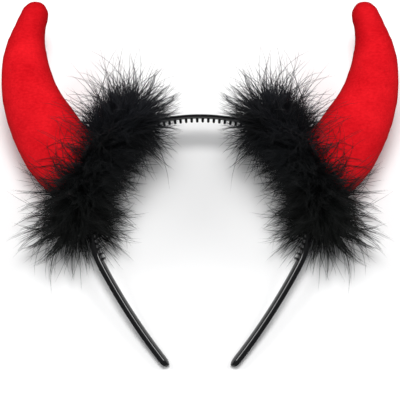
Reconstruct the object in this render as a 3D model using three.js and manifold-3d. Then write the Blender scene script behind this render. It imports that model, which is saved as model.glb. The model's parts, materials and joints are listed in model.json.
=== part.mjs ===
// A costume headband: a toothed black plastic band carrying two stuffed red velvet horns,
// each with a strip of black marabou feather wound round its base.
//
// Lengths are millimetres and angles are degrees. Every piece is drawn in the band's own frame,
// as it is worn: +X to the right seen from the front, +Y to the back, +Z up, with the leg tips
// near Z = 0. The finished assembly is then laid on its back on the plane Z = 0.
import * as THREE from "three";
import { mergeVertices } from "three/addons/utils/BufferGeometryUtils.js";
import Module from "manifold-3d";

const wasm = await Module();
wasm.setup();

const { degToRad, smoothstep, lerp } = THREE.MathUtils;

// Driving dimensions

const GAP = 0.35; // kept between neighbouring pieces
const CRUMB = 0.08; // details under this size are merged away
const REST_TILT = 10.5; // the band's plane to the surface that it lies on

// The band is one strip, bent into an arch. One row for each stretch of its right half, from the
// top down: the radius to the middle of its thickness, and its slope where the stretch ends.
const ARCH = [
  { stretch: "top", radius: 109, endSlope: 11 },
  { stretch: "shoulder", radius: 53.8, endSlope: 84 },
  { stretch: "side", radius: 150, endSlope: 90 },
  { stretch: "temple", radius: 52, endSlope: 117.8 },
  { stretch: "leg", radius: 385, endSlope: 180 }, // ends at the tip before that
];
const BAND = {
  topZ: 151.7, // middle of its thickness, at the top of the arch
  halfLength: 203, // along the strip, from the top of the arch to a tip
  crownThickness: 2.1,
  legThickness: 2.2,
  crownWidth: 6,
  legWidth: 7.2,
  twist: 26, // turns the legs' inner faces forward
  twistStart: 75, // slopes between which the strip twists, widens and thickens
  twistEnd: 118,
  tipRound: 5, // length of the rounded end
  tipEndShare: 0.39, // of the width, left at the very end
  edgeCut: { thick: 0.28, wide: 0.09 }, // chamfer, as shares of thickness and width
};

const TOOTH = {
  pitch: 3.4,
  perSide: 38,
  length: 2.65,
  rootDepth: 0.6, // how far it runs into the strip
  rootHalf: 0.7, // half its size along the strip
  shoulderHalf: 0.64,
  tipHalf: 0.34,
  shoulderAt: 0.78, // share of its length
  widthShare: 0.62, // its size across the strip
};

// One row for each section of a horn, from the end inside the band's arc to the tip.
const HORN_SECTIONS = [
  { x: 53.5, z: 111.2, width: 45, depth: 33 },
  { x: 79.5, z: 125.5, width: 44.5, depth: 34 },
  { x: 93.0, z: 144.4, width: 40.6, depth: 32 },
  { x: 101.8, z: 164.3, width: 34.2, depth: 29 },
  { x: 104.8, z: 187.0, width: 26.6, depth: 23 },
  { x: 101.4, z: 205.8, width: 17.8, depth: 16 },
  { x: 96.0, z: 220.2, width: 14.6, depth: 13.5 },
];
const HORN = { sides: 18, rings: 16, domeStart: 0.91, domeRings: 4, saddleStep: 3.4 };

// The feather strip is a closed loop round the horn's base, lying on the band's outer face. Its
// core lies on a round drum that follows the band.
const TRIM = {
  drumRadius: 73.5,
  drumCentreZ: 88,
  centreAngle: 62, // of the loop's middle, from the top of the drum
  halfLength: 34,
  halfDepth: 20.5,
  downRadius: 19, // the dense fluff round the core
  downInner: 12, // the same, towards the horn
  downHead: 25, // the same, towards the wearer's head
  downSides: 8,
  downSteps: 26,
  tunnel: { inward: 4.6, outward: 0.6, across: 0.8 }, // room for the band and its teeth
};

// One row for each ring of locks round the loop's core: the side that they point to, from the
// wearer's head (-90) over the outside of the loop (0) to along the horn (90).
const LOCK_RINGS = [
  { aim: -88, count: 11, reach: 35, thick: 12.5 },
  { aim: -52, count: 13, reach: 35, thick: 12 },
  { aim: -17, count: 15, reach: 32, thick: 11 },
  { aim: 18, count: 15, reach: 32, thick: 11 },
  { aim: 55, count: 13, reach: 33, thick: 11 },
];
const LOCK = {
  sides: 5,
  rings: 2,
  lean: 0.35, // along the loop, alternating from lock to lock
  vary: 0.16, // of its reach, alternating in threes
  taper: 0.75, // under 1 for a full belly and a short point
  backFlatten: 0.45, // locks on the resting side splay along the surface
};

const COLOURS = { band: 0x0b0b0d, velvet: 0xd80f1c, feather: 0x0a0a0c };

// Solids and meshes

function toSolid(geometry) {
  const bare = new THREE.BufferGeometry();
  bare.setAttribute("position", geometry.getAttribute("position"));
  bare.setIndex(geometry.index);
  const merged = mergeVertices(bare, 1e-4);
  const corners = merged.index.array;
  const kept = [];
  for (let i = 0; i < corners.length; i += 3) {
    const [a, b, c] = corners.slice(i, i + 3);
    if (a !== b && b !== c && c !== a) kept.push(a, b, c);
  }
  return new wasm.Manifold(
    new wasm.Mesh({
      numProp: 3,
      vertProperties: new Float32Array(merged.getAttribute("position").array),
      triVerts: new Uint32Array(kept),
    }),
  );
}

function toGeometry(solid) {
  const mesh = solid.getMesh();
  const geometry = new THREE.BufferGeometry();
  geometry.setAttribute("position", new THREE.BufferAttribute(mesh.vertProperties, 3));
  geometry.setIndex(new THREE.BufferAttribute(mesh.triVerts, 1));
  geometry.computeVertexNormals();
  return geometry;
}

function largestBody(solid) {
  const bodies = solid.decompose();
  return bodies.reduce((best, body) => (body.volume() > best.volume() ? body : best));
}

// Moves every vertex of a closed primitive to where place(vertex) says.
function warp(geometry, place) {
  const positions = geometry.getAttribute("position");
  const vertex = new THREE.Vector3();
  for (let i = 0; i < positions.count; i += 1) {
    vertex.fromBufferAttribute(positions, i);
    const moved = place(vertex);
    positions.setXYZ(i, moved.x, moved.y, moved.z);
  }
  return geometry;
}

// A point plus any number of vector and length pairs.
function offset(point, ...steps) {
  const moved = point.clone();
  for (const [direction, length] of steps) moved.addScaledVector(direction, length);
  return moved;
}

// The band

const BACK = new THREE.Vector3(0, 1, 0);

// Where the strip is at a signed length from the top of the arch, and how it is turned there.
function bandFrame(length) {
  const side = Math.sign(length) || 1;
  const point = new THREE.Vector3(0, 0, BAND.topZ);
  let left = Math.abs(length);
  let slope = 0;
  for (const { radius, endSlope } of ARCH) {
    const bend = Math.min(left / radius, degToRad(endSlope) - slope);
    point.x += side * radius * (Math.sin(slope + bend) - Math.sin(slope));
    point.z += radius * (Math.cos(slope + bend) - Math.cos(slope));
    left -= bend * radius;
    slope += bend;
  }
  const share = smoothstep(slope, degToRad(BAND.twistStart), degToRad(BAND.twistEnd));
  const twist = degToRad(BAND.twist) * share;
  const plainInward = new THREE.Vector3(-side * Math.sin(slope), 0, -Math.cos(slope));
  return {
    point,
    along: new THREE.Vector3(Math.cos(slope), 0, -side * Math.sin(slope)),
    inward: offset(new THREE.Vector3(), [plainInward, Math.cos(twist)], [BACK, -Math.sin(twist)]),
    across: offset(new THREE.Vector3(), [BACK, Math.cos(twist)], [plainInward, Math.sin(twist)]),
    thickness: lerp(BAND.crownThickness, BAND.legThickness, share),
    width: lerp(BAND.crownWidth, BAND.legWidth, share),
  };
}

// Lengths along the strip at which it has a section: at each tooth, then closer at the round tips.
function bandStations() {
  const half = [];
  const roundStart = BAND.halfLength - BAND.tipRound;
  const spacing = (run) => (run < TOOTH.pitch * TOOTH.perSide ? TOOTH.pitch : 2 * TOOTH.pitch);
  for (let run = TOOTH.pitch / 2; run < roundStart - TOOTH.pitch / 2; run += spacing(run)) half.push(run);
  for (const share of [0, 0.5, 0.8, 1]) half.push(roundStart + BAND.tipRound * share);
  return [...half.map((run) => -run).reverse(), ...half];
}

// The strip's share of its full width, less towards the rounded tip.
function tipShare(length) {
  const past = (Math.abs(length) - (BAND.halfLength - BAND.tipRound)) / BAND.tipRound;
  return past <= 0 ? 1 : Math.sqrt(1 - (1 - BAND.tipEndShare ** 2) * past ** 2);
}

// A chamfered rectangle of size 1 by 1.
function stripSection() {
  const cutX = BAND.edgeCut.thick;
  const cutY = BAND.edgeCut.wide;
  const quarter = [
    [0.5, 0.5 - cutY],
    [0.5 - cutX, 0.5],
  ];
  const corner = (signX, signY) => quarter.map(([x, y]) => new THREE.Vector2(signX * x, signY * y));
  return new THREE.Shape([
    ...corner(1, 1),
    ...corner(-1, 1).reverse(),
    ...corner(-1, -1),
    ...corner(1, -1).reverse(),
  ]);
}

// A strip along the band whose section is placed by fit(section point, length, frame).
function alongBand(section, stations, fit) {
  const steps = stations.length - 1;
  const strip = new THREE.ExtrudeGeometry(section, { depth: steps, steps, bevelEnabled: false });
  return warp(strip, (vertex) => {
    const length = stations[Math.round(vertex.z)];
    const frame = bandFrame(length);
    const { inward, across } = fit(vertex, length, frame);
    return offset(frame.point, [frame.inward, inward], [frame.across, across]);
  });
}

function bandTooth(length) {
  const frame = bandFrame(length);
  const reach = TOOTH.length + TOOTH.rootDepth;
  const profile = new THREE.Shape([
    new THREE.Vector2(-TOOTH.rootHalf, 0),
    new THREE.Vector2(TOOTH.rootHalf, 0),
    new THREE.Vector2(TOOTH.shoulderHalf, reach * TOOTH.shoulderAt),
    new THREE.Vector2(TOOTH.tipHalf, reach),
    new THREE.Vector2(-TOOTH.tipHalf, reach),
    new THREE.Vector2(-TOOTH.shoulderHalf, reach * TOOTH.shoulderAt),
  ]);
  const tooth = new THREE.ExtrudeGeometry(profile, { depth: 1, steps: 1, bevelEnabled: false });
  const root = frame.thickness / 2 - TOOTH.rootDepth;
  return warp(tooth, ({ x, y, z }) =>
    offset(
      frame.point,
      [frame.along, x],
      [frame.inward, root + y],
      [frame.across, (0.5 - z) * frame.width * TOOTH.widthShare],
    ),
  );
}

function makeBand() {
  const strip = alongBand(stripSection(), bandStations(), (vertex, length, frame) => ({
    inward: vertex.x * frame.thickness,
    across: vertex.y * frame.width * tipShare(length),
  }));
  const teeth = [];
  for (let i = 0; i < TOOTH.perSide; i += 1) {
    const length = TOOTH.pitch * (i + 0.5);
    teeth.push(toSolid(bandTooth(length)), toSolid(bandTooth(-length)));
  }
  return wasm.Manifold.union([toSolid(strip), ...teeth]);
}

// The room that the band and its teeth take through the feathers on the right side.
function bandTunnel() {
  const { inward, outward, across } = TRIM.tunnel;
  const reachLow = BAND.crownThickness / 2 + outward;
  const reachHigh = BAND.crownThickness / 2 + inward;
  const section = new THREE.Shape([
    new THREE.Vector2(-reachLow, -0.5),
    new THREE.Vector2(reachHigh, -0.5),
    new THREE.Vector2(reachHigh, 0.5),
    new THREE.Vector2(-reachLow, 0.5),
  ]);
  const stations = bandStations().filter((length) => length > 0);
  return toSolid(
    alongBand(section, stations, (vertex, length, frame) => ({
      inward: vertex.x,
      across: vertex.y * (frame.width + 2 * across),
    })),
  );
}

// The horn

// A closed turned shape along a curved axis, grown outwards by `grow`.
function hornBody(grow) {
  const rows = HORN_SECTIONS;
  const axis = new THREE.CatmullRomCurve3(rows.map(({ x, z }) => new THREE.Vector3(x, 0, z)));
  const sizes = new THREE.CatmullRomCurve3(
    rows.map(({ width, depth }) => new THREE.Vector3(width, depth, 0)),
  );
  const profile = [new THREE.Vector2(0, 0)];
  for (let i = 0; i <= HORN.rings; i += 1) {
    profile.push(new THREE.Vector2(1, (HORN.domeStart * i) / HORN.rings));
  }
  for (let i = 1; i <= HORN.domeRings; i += 1) {
    const rise = Math.sin((Math.PI / 2) * (i / HORN.domeRings));
    const radius = i < HORN.domeRings ? Math.sqrt(1 - rise * rise) : 0;
    profile.push(new THREE.Vector2(radius, lerp(HORN.domeStart, 1, rise)));
  }
  const turned = new THREE.LatheGeometry(profile, HORN.sides);
  return warp(turned, ({ x, y, z }) => {
    const share = Math.min(Math.max(y, 0), 1);
    const size = sizes.getPoint(share);
    const heading = axis.getTangent(share);
    const across = new THREE.Vector3(heading.z, 0, -heading.x);
    const tipGrow = share === 1 ? grow : 0;
    return offset(
      axis.getPoint(share),
      [across, x * (size.x / 2 + grow)],
      [BACK, -z * (size.y / 2 + grow)],
      [heading, tipGrow],
    );
  });
}

// A block that fills the right half of the arch and whose rim is the band's outer face, `gap` clear.
function archBlock(gap) {
  const depth = 2 * Math.max(...HORN_SECTIONS.map((section) => section.depth));
  const rim = [];
  for (let run = 0; run < BAND.halfLength; run += HORN.saddleStep) {
    const { point, along, thickness } = bandFrame(run);
    const outward = new THREE.Vector3().crossVectors(along, BACK);
    rim.push(offset(point, [outward, thickness / 2 + gap]));
  }
  const outline = new THREE.Shape(rim.reverse().map(({ x, z }) => new THREE.Vector2(x, z)));
  outline.lineTo(0, 0);
  const block = new THREE.ExtrudeGeometry(outline, { depth, bevelEnabled: false });
  return toSolid(block.rotateX(Math.PI / 2).translate(0, depth / 2, 0));
}

// The horn's base is hollowed to sit on the band.
function makeHorn() {
  return toSolid(hornBody(0)).subtract(archBlock(GAP));
}

// The feathers

// The loop's core at an angle round it, with the directions away from the loop and from the band.
function loopFrame(turn) {
  const radius = TRIM.drumRadius;
  const at = (angle) => {
    const sweep = degToRad(TRIM.centreAngle) + (TRIM.halfLength * Math.cos(angle)) / radius;
    return {
      point: new THREE.Vector3(
        radius * Math.sin(sweep),
        TRIM.halfDepth * Math.sin(angle),
        TRIM.drumCentreZ + radius * Math.cos(sweep),
      ),
      outward: new THREE.Vector3(Math.sin(sweep), 0, Math.cos(sweep)),
    };
  };
  const step = 0.01;
  const { point, outward } = at(turn);
  const along = at(turn + step).point.sub(at(turn - step).point).normalize();
  const away = new THREE.Vector3().crossVectors(along, outward).normalize();
  return { point, outward, along, away };
}

// The dense fluff close round the core.
function downBody() {
  const ringRadius = 2;
  const ring = new THREE.TorusGeometry(ringRadius, 1, TRIM.downSides, TRIM.downSteps);
  return warp(ring, ({ x, y, z }) => {
    const frame = loopFrame(Math.atan2(y, x));
    const out = Math.hypot(x, y) - ringRadius;
    return offset(
      frame.point,
      [frame.away, out * (out > 0 ? TRIM.downRadius : TRIM.downInner)],
      [frame.outward, z * (z > 0 ? TRIM.downRadius : TRIM.downHead)],
    );
  });
}

// One pointed lock of barbs, from the core outwards.
function featherLock({ aim, count, reach, thick }, index) {
  const frame = loopFrame((2 * Math.PI * index) / count);
  const pitch = degToRad(aim);
  const lean = index % 2 === 0 ? LOCK.lean : -LOCK.lean;
  const heading = offset(
    new THREE.Vector3(),
    [frame.away, Math.cos(pitch)],
    [frame.outward, Math.sin(pitch)],
    [frame.along, lean],
  );
  if (heading.y > 0) heading.y *= LOCK.backFlatten;
  heading.normalize();
  const length = reach * (1 + LOCK.vary * ((index % 3) - 1));
  const first = new THREE.Vector3().crossVectors(heading, frame.along).normalize();
  const second = new THREE.Vector3().crossVectors(heading, first);
  const cone = new THREE.ConeGeometry(1, 1, LOCK.sides, LOCK.rings);
  return warp(cone, ({ x, y, z }) => {
    const share = y + 0.5;
    const radius = share < 1 ? thick * (1 - share) ** (LOCK.taper - 1) : 0;
    return offset(
      frame.point,
      [heading, length * share],
      [first, -x * radius],
      [second, z * radius],
    );
  });
}

// The half space under the surface that the headband lies on, drawn in the band's frame.
function underSurface(lowest) {
  const size = 600;
  const block = new THREE.BoxGeometry(size, size, size);
  block.translate(0, 0, lowest - size / 2);
  return toSolid(block.applyMatrix4(new THREE.Matrix4().makeRotationX(-layAngle())));
}

function makeFeathers(lowest) {
  const locks = LOCK_RINGS.flatMap((ring) =>
    Array.from({ length: ring.count }, (_, index) => toSolid(featherLock(ring, index))),
  );
  const whole = wasm.Manifold.union([toSolid(downBody()), ...locks]);
  const fitted = whole
    .subtract(toSolid(hornBody(GAP)))
    .subtract(bandTunnel())
    .subtract(underSurface(lowest));
  return largestBody(fitted.simplify(CRUMB));
}

// The assembly

// Turning by this about X lays the worn headband on its back.
function layAngle() {
  return degToRad(REST_TILT - 90);
}

// Height of the lowest point of a solid once it is laid down.
function lowestLaid(solid) {
  const laid = toGeometry(solid).applyMatrix4(new THREE.Matrix4().makeRotationX(layAngle()));
  laid.computeBoundingBox();
  return laid.boundingBox.min.z;
}

function named(name, geometry, material) {
  const mesh = new THREE.Mesh(geometry, material);
  mesh.name = name;
  return mesh;
}

function buildHeadband() {
  const plastic = new THREE.MeshStandardMaterial({ color: COLOURS.band, roughness: 0.25 });
  const velvet = new THREE.MeshStandardMaterial({ color: COLOURS.velvet, roughness: 0.95 });
  const feather = new THREE.MeshStandardMaterial({ color: COLOURS.feather, roughness: 0.9 });

  const band = makeBand();
  const hornShape = toGeometry(makeHorn());
  const featherShape = toGeometry(makeFeathers(lowestLaid(band)));

  const worn = new THREE.Group();
  worn.add(named("band", toGeometry(band), plastic));
  for (const [side, mirror] of [["right", 1], ["left", -1]]) {
    const half = new THREE.Group();
    half.scale.x = mirror;
    half.add(named(`horn_${side}`, hornShape, velvet));
    half.add(named(`marabou_${side}`, featherShape, feather));
    worn.add(half);
  }
  worn.rotation.x = layAngle();

  // The origin is under the middle of the assembly, on the surface that it lies on.
  const laid = new THREE.Group();
  laid.add(worn);
  laid.updateMatrixWorld(true);
  const box = new THREE.Box3().setFromObject(worn, true);
  const middle = box.getCenter(new THREE.Vector3());
  worn.position.set(-middle.x, -middle.y, -box.min.z);
  return laid;
}

export default buildHeadband();
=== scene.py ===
# %% [markdown]
# A devil horn headband
#
# This lesson dresses the construction model of a costume headband. The model gives every piece its
# size and place: a toothed plastic band, two stuffed velvet horns and two loops of marabou feather.
# Here each of them gets the form and the finish that the eye sees.
#
# The construction model is loaded first and is never moved. Its outer box is kept, because the
# dressed headband has to stay inside it, apart from a little fluff. Its outer box is kept: fluff
# that rises more than a little above its top is left out later.

# %% Load the construction model
import json
import math

import bpy
import numpy as np
from mathutils import Matrix, Vector
from mathutils.bvhtree import BVHTree


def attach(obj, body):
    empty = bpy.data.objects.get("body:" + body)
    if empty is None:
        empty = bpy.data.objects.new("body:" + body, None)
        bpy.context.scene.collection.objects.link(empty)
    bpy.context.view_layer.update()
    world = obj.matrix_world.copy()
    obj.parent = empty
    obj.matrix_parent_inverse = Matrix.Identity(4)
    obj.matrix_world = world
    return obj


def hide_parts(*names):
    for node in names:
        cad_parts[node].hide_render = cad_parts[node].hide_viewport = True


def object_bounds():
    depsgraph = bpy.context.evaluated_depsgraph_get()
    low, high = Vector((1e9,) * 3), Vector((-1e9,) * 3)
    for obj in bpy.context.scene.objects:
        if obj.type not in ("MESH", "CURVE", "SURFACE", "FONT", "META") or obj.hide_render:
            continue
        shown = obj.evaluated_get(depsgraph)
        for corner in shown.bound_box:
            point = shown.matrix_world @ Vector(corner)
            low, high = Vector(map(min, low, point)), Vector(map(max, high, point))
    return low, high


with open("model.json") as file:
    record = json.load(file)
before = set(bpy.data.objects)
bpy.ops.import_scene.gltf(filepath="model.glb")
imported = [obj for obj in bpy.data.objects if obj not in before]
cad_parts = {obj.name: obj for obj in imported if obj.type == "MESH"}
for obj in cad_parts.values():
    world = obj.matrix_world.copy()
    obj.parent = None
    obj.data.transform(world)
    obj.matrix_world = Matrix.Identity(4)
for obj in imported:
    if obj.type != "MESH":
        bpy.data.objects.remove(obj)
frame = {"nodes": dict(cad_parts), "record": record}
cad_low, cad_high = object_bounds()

MM = 0.001
print("construction model", [round((b - a) / MM, 1) for a, b in zip(cad_low, cad_high)], "mm")

# %% [markdown]
# The headband lies on its back, so its own directions lean against those of the room. Shapes are
# easier to draw upright, as the headband is worn: X to the right, Y to the back, Z up, and zero at
# the top of the crown. That place is a mount in the record, and the way that it faces is the
# headband's own up. One matrix then takes any upright shape to its place.

# %% Find the headband's own upright frame
crown_mount = next(m for m in frame["record"]["mounts"] if m["name"] == "crown_top")
crown_top = Vector(crown_mount["pos_m"])
crown_top.x = 0
up = Vector(crown_mount["axis"]).normalized()
right = Vector((1, 0, 0))
back = up.cross(right)
UPRIGHT = Matrix.Translation(crown_top) @ Matrix((right, back, up)).transposed().to_4x4()
print("the band leans", round(math.degrees(math.asin(up.z)), 1), "degrees off the surface")

# %% [markdown]
# The camera looks square at the front of the headband, so its picture has the outline of a headband
# that is held upright. A long lens from 1.2 m keeps the near fluff from swelling. One pixel of the
# 400 pixel picture covers 0.6 mm at the band.

# %% Camera
PICTURE_SIDE = 400
PIXEL = 0.6 * MM
VIEW_DISTANCE = 1200 * MM
VIEW_CENTRE = Vector((0, 0, -51.35)) * MM  # upright, below the crown
SENSOR = 36

bpy.ops.object.select_all(action="DESELECT")
bpy.ops.object.camera_add()
camera = bpy.context.active_object
camera.data.sensor_width = SENSOR
camera.data.lens = SENSOR * VIEW_DISTANCE / (PICTURE_SIDE * PIXEL)
eye = UPRIGHT @ VIEW_CENTRE - back * VIEW_DISTANCE
camera.matrix_world = Matrix.Translation(eye) @ Matrix((right, up, -back)).transposed().to_4x4()
bpy.context.scene.camera = camera
print("lens", round(camera.data.lens, 1), "mm")

# %% [markdown]
# The stage is a plain pale floor. A wide plane is enough, because the camera sees no edge of it.

# %% Floor
FLOOR_SIZE = 30
FLOOR_GREY = 0.9
FLOOR_ROUGHNESS = 0.9

bpy.ops.object.select_all(action="DESELECT")
bpy.ops.mesh.primitive_plane_add(size=FLOOR_SIZE)
floor = bpy.context.active_object
floor.name = "floor"
pale_floor = bpy.data.materials.new("pale_floor")
pale_floor.use_nodes = True
shader = pale_floor.node_tree.nodes["Principled BSDF"]
shader.inputs["Base Color"].default_value = (FLOOR_GREY, FLOOR_GREY, FLOOR_GREY, 1)
shader.inputs["Roughness"].default_value = FLOOR_ROUGHNESS
floor.data.materials.append(pale_floor)
print("floor", FLOOR_SIZE, "m wide")

# %% [markdown]
# The light is that of a soft studio. The main panel hangs overhead: it keeps shadows under the
# headband, and lights the middle of a round horn more than its edges. Nothing bright is right behind
# the camera, so the band's front stays black. The chamfers inside its legs catch two smaller panels,
# high on the left and the right, as thin lines. A pale world fills in from all round. Panels are
# hidden from the camera, because other views look towards them.

# %% Studio light
WORLD_TINT = (0.97, 0.98, 1.0, 1)
WORLD_STRENGTH = 0.22


def soft_panel(name, place, size, power):
    """A square light panel that faces the headband."""
    bpy.ops.object.light_add(type="AREA", location=place)
    panel = bpy.context.active_object
    panel.name = name
    panel.data.shape = "SQUARE"
    panel.data.size = size
    panel.data.energy = power
    panel.rotation_euler = (-Vector(place)).to_track_quat("-Z", "Y").to_euler()
    panel.visible_camera = False


soft_panel("main_panel", place=(0.0, 0.34, 1.31), size=0.45, power=15)
soft_panel("left_panel", place=(-0.92, 0.37, 0.91), size=0.42, power=4.5)
soft_panel("right_panel", place=(0.92, 0.37, 0.91), size=0.42, power=4.5)

world = bpy.data.worlds.new("studio")
world.use_nodes = True
background = world.node_tree.nodes["Background"]
background.inputs["Color"].default_value = WORLD_TINT
background.inputs["Strength"].default_value = WORLD_STRENGTH
bpy.context.scene.world = world
bpy.context.scene.view_settings.view_transform = "Standard"

# %% [markdown]
# The band is one black moulding: a strip that bends round the head, with a comb of teeth inside the
# crown. A strip could be drawn bent from the start, but then every tooth needs its own place and
# turn. It is far easier to make half of it straight and to bend the finished comb afterwards.
#
# The line that it is bent to is a chain of arcs, from the flat top over the round shoulder to the
# long leg. A table holds each arc's radius and the slope at its end, and one function walks along it.

# %% The arch that the band follows
CROWN_THICK = 2.3 * MM
HALF_LENGTH = 203 * MM  # from the top of the arch to a tip, along the strip
ARCH = [
    {"stretch": "top", "radius": 109 * MM, "end_slope": 11},
    {"stretch": "shoulder", "radius": 53.8 * MM, "end_slope": 84},
    {"stretch": "side", "radius": 150 * MM, "end_slope": 90},
    {"stretch": "temple", "radius": 52 * MM, "end_slope": 117.8},
    {"stretch": "leg", "radius": 385 * MM, "end_slope": 180},
]


def arch_at(run):
    """Place and slope of the strip's middle line at a length along it, drawn flat, crown upwards."""
    x, y, slope = 0, -CROWN_THICK / 2, 0
    for arc in ARCH:
        bend = min(run / arc["radius"], math.radians(arc["end_slope"]) - slope)
        x += arc["radius"] * (math.sin(slope + bend) - math.sin(slope))
        y += arc["radius"] * (math.cos(slope + bend) - math.cos(slope))
        run -= bend * arc["radius"]
        slope += bend
    return x, y, slope


tip_x, tip_y, _ = arch_at(HALF_LENGTH)
print("a leg's tip is", round(tip_x / MM, 1), "mm out and", round(-tip_y / MM, 1), "mm down")

# %% [markdown]
# The strip starts as a flat plane, the section of the crown. Bevelling its corners gives the edges of
# a moulding. Outside, the front edge is fine, and the back edge, which the legs lie on, is round.
# Inside there is a broad flat chamfer, which catches the light as a line. The inner face is slightly
# crowned, so that its gloss runs from light to dark: its edge is subdivided and the new points are
# moved out.

# %% The section of the strip
CROWN_WIDTH = 6 * MM
INNER_CHAMFER = 0.75 * MM
FRONT_ROUND = 0.1 * MM
BACK_ROUND = 0.8 * MM
INNER_CROWN = 0.35 * MM
CROWN_CUTS = 7
TOUCH = MM / 100  # what is closer than this is in one place


def only(piece):
    """Makes a piece the only one that is selected."""
    bpy.ops.object.select_all(action="DESELECT")
    piece.select_set(True)
    bpy.context.view_layer.objects.active = piece


def pick(piece, kind, wanted):
    """Goes to edit mode with only the wanted points or faces selected."""
    bpy.ops.object.mode_set(mode="OBJECT")
    only(piece)
    bpy.ops.object.mode_set(mode="EDIT")
    bpy.ops.mesh.select_mode(type=kind)
    bpy.ops.mesh.select_all(action="DESELECT")
    bpy.ops.object.mode_set(mode="OBJECT")
    for element in piece.data.vertices if kind == "VERT" else piece.data.polygons:
        element.select = wanted(element)
    bpy.ops.object.mode_set(mode="EDIT")


bpy.ops.object.select_all(action="DESELECT")
bpy.ops.mesh.primitive_plane_add(size=1, rotation=(0, math.radians(90), 0))
strip = bpy.context.active_object
strip.scale = (CROWN_WIDTH, CROWN_THICK, 1)
bpy.ops.object.transform_apply(location=True, rotation=True, scale=True)
pick(strip, "VERT", lambda point: point.co.y > 0 and point.co.z > 0)
bpy.ops.mesh.bevel(affect="VERTICES", offset=FRONT_ROUND, segments=3)
pick(strip, "VERT", lambda point: point.co.y > 0 and point.co.z < 0)
bpy.ops.mesh.bevel(affect="VERTICES", offset=BACK_ROUND, segments=4)
pick(strip, "VERT", lambda point: point.co.y < -CROWN_THICK / 2 + TOUCH)
bpy.ops.mesh.bevel(affect="VERTICES", offset=INNER_CHAMFER, segments=1)
pick(strip, "VERT", lambda point: point.co.y < -CROWN_THICK / 2 + TOUCH)
bpy.ops.mesh.subdivide(number_cuts=CROWN_CUTS)
flat = CROWN_WIDTH / 2 - INNER_CHAMFER
for cut in range(1, CROWN_CUTS + 1):
    height = flat * (2 * cut / (CROWN_CUTS + 1) - 1)
    pick(strip, "VERT", lambda point: point.co.y < 0 and abs(point.co.z - height) < TOUCH)
    bpy.ops.transform.translate(value=(0, -INNER_CROWN * (1 - (height / flat) ** 2), 0))
bpy.ops.object.mode_set(mode="OBJECT")
print("section with", len(strip.data.vertices), "points")

# %% [markdown]
# Extruding the section step by step leaves enough rings to bend. Resizing the newest ring makes the
# strip wider and thicker towards the legs and rounds its tip. The face at the start is deleted,
# because the other half of the band joins on there.

# %% Half of the strip, straight
LEG_THICK = 2.9 * MM
LEG_WIDTH = 6.5 * MM
TWIST_START = 72  # slopes between which the strip twists and widens
TWIST_END = 106
RING_STEP = 1.7 * MM
TIP_ROUND = 5 * MM
TIP_RINGS = 6
TIP_WIDTH = 0.2  # share of the width that is left at the very end
TIP_THICK = 0.5  # share of the thickness that doesn't shrink with it


def leg_share(run):
    """0 on the crown, 1 on the leg, for a length along the strip."""
    share = (math.degrees(arch_at(run)[2]) - TWIST_START) / (TWIST_END - TWIST_START)
    share = min(max(share, 0), 1)
    return share * share * (3 - 2 * share)


def strip_size(run):
    """Thickness and width of the strip at a length along it."""
    share = leg_share(run)
    past = max(0, run - (HALF_LENGTH - TIP_ROUND)) / TIP_ROUND
    rounding = max(math.sqrt(max(1 - past * past, 0)), TIP_WIDTH)
    thick = CROWN_THICK + (LEG_THICK - CROWN_THICK) * share
    width = CROWN_WIDTH + (LEG_WIDTH - CROWN_WIDTH) * share
    return thick * (TIP_THICK + (1 - TIP_THICK) * rounding), width * rounding


tip_start = HALF_LENGTH - TIP_ROUND
ring_count = round(tip_start / RING_STEP)
rings = [tip_start * i / ring_count for i in range(ring_count + 1)]
rings += [tip_start + TIP_ROUND * math.sin(math.pi / 2 * i / TIP_RINGS) for i in range(1, TIP_RINGS + 1)]
bpy.ops.object.mode_set(mode="EDIT")
bpy.ops.mesh.select_all(action="SELECT")
for here, there in zip(rings, rings[1:]):
    bpy.ops.mesh.extrude_region_move(TRANSFORM_OT_translate={"value": (there - here, 0, 0)})
    thick, width = (new / old for new, old in zip(strip_size(there), strip_size(here)))
    bpy.ops.transform.resize(value=(1, thick, width), center_override=(there, 0, 0))
bpy.ops.object.mode_set(mode="OBJECT")
pick(strip, "FACE", lambda face: face.center.x < RING_STEP / 10)
bpy.ops.mesh.delete(type="FACE")
bpy.ops.object.mode_set(mode="OBJECT")
print("strip", len(rings), "rings,", len(strip.data.polygons), "faces")

# %% [markdown]
# A comb tooth is a small tapered peg with a round end. One is shaped from a cube: its tip face is
# made smaller and its edges are bevelled. An array then repeats it along the strip at an even pitch,
# as the mould does. The teeth are joined to the strip with their roots sunk into it.

# %% One tooth, repeated along the strip
TOOTH_PITCH = 3.4 * MM
TEETH_PER_SIDE = 38
TOOTH_LENGTH = 2.65 * MM
TOOTH_ROOT = 0.6 * MM  # sunk into the strip
TOOTH_THICK = 1.75 * MM
TOOTH_WIDTH = 4.0 * MM
TOOTH_TAPER = (0.85, 1, 0.85)
TOOTH_ROUND = 0.6 * MM
FACING = 0.9  # a normal's share along a direction that its face looks in


def shape_with(piece, name, kind, **settings):
    """Gives a piece a modifier with its settings, and applies it."""
    only(piece)
    modifier = piece.modifiers.new(name, kind)
    for setting, value in settings.items():
        setattr(modifier, setting, value)
    bpy.ops.object.modifier_apply(modifier=name)


tall = TOOTH_LENGTH + TOOTH_ROOT
top = CROWN_THICK / 2 - TOOTH_ROOT
bpy.ops.object.select_all(action="DESELECT")
bpy.ops.mesh.primitive_cube_add(size=1, location=(TOOTH_PITCH / 2, -top - tall / 2, 0))
teeth = bpy.context.active_object
teeth.scale = (TOOTH_THICK, tall, TOOTH_WIDTH)
bpy.ops.object.transform_apply(location=True, rotation=True, scale=True)
pick(teeth, "FACE", lambda face: face.normal.y < -FACING)
bpy.ops.transform.resize(value=TOOTH_TAPER, center_override=(TOOTH_PITCH / 2, 0, 0))
bpy.ops.mesh.bevel(affect="EDGES", offset=TOOTH_ROUND, segments=3)
bpy.ops.object.mode_set(mode="OBJECT")

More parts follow.
